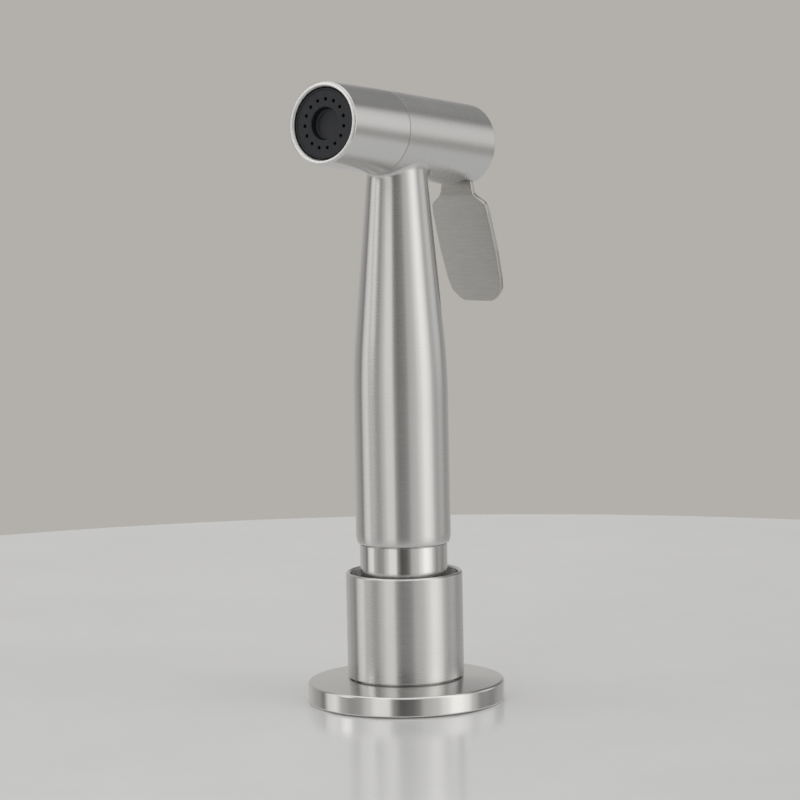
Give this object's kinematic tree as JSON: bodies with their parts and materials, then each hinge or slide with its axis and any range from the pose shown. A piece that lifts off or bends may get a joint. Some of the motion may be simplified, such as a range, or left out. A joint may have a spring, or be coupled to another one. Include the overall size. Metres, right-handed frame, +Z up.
{
  "type": "deck-mounted side spray",
  "caption": "Trigger side spray standing in a round deck holder, with a tapered steel grip, a tilted round head, a black jet face and a lever under the rear of the head.",
  "frame": {"origin": "centre of the deck hole, on the deck's top surface, where the gasket's underside lies", "axes": "+Z up along the holder and the grip, -Y the way the jets point, +Y towards the lever, X along the lever's pin"},
  "size_m": [0.054, 0.0726, 0.2119],
  "materials": {
    "brushed_steel": "fine circumferential satin brushing",
    "polished_steel": "bright turned steel, nearly mirror",
    "lever_steel": "grey brushed plate",
    "plain_steel": "plain turned or drawn steel",
    "brass": "machined",
    "black_plastic": "fine satin moulding",
    "grey_plastic": "satin acetal",
    "white_plastic": "satin moulding",
    "rubber": "matt"
  },
  "bodies": {
    "holder": {"flange": "polished_steel", "flange_o_ring": "rubber", "deck_gasket": "rubber", "holder_cup": "brushed_steel", "retaining_ring": "plain_steel", "threaded_shank": "brass", "rubber_washer": "rubber", "steel_washer": "plain_steel", "lock_nut": "brass"},
    "guide": {"guide_bush": "grey_plastic"},
    "sprayer": {"handle_tube": "brushed_steel", "bottom_sleeve": "polished_steel", "sleeve_o_ring": "rubber", "hose_nipple": "brass", "nipple_o_ring": "rubber", "inlet_filter": "white_plastic", "head_shell": "brushed_steel", "rear_plug": "brushed_steel", "valve_body": "brass", "body_o_ring_rear": "rubber", "body_o_ring_front": "rubber", "cap_o_ring": "rubber", "seat_insert": "white_plastic", "seat_o_ring": "rubber", "stem_o_ring": "rubber", "gland_nut": "brass", "nozzle_cap": "polished_steel", "face_seal": "rubber", "spacer_ring": "white_plastic", "jet_plate": "white_plastic", "spray_face": "black_plastic", "valve_spring": "plain_steel", "lever_pin": "plain_steel"},
    "valve": {"valve_stem": "plain_steel", "valve_washer": "rubber", "washer_nut": "brass", "stem_nut": "brass"},
    "lever": {"trigger_lever": "lever_steel"}
  },
  "joints": [
    {"name": "holder_swivel", "type": "hinge", "parent": "holder", "child": "guide", "pos_m": [0, 0, 0.022], "axis": [0, 0, 1], "continuous": true},
    {"name": "lift_out", "type": "slide", "parent": "guide", "child": "sprayer", "axis": [0, 0, 1], "range_m": [0, 0.06]},
    {"name": "lever_squeeze", "type": "hinge", "parent": "sprayer", "child": "lever", "pos_m": [0, 0.02222, 0.14715], "axis": [-1, 0, 0], "range_deg": [0, 16], "stiffness_Nm_per_rad": 1, "springref_deg": -14.32},
    {"name": "valve_pull", "type": "slide", "parent": "sprayer", "child": "valve", "axis": [0, 0.9935, -0.1139], "range_m": [0, 0.0018], "deforming": ["valve_spring"]}
  ],
  "couplings": [
    {"joint": "valve_pull", "follows": "lever_squeeze", "m_per_rad": 0.00627}
  ]
}
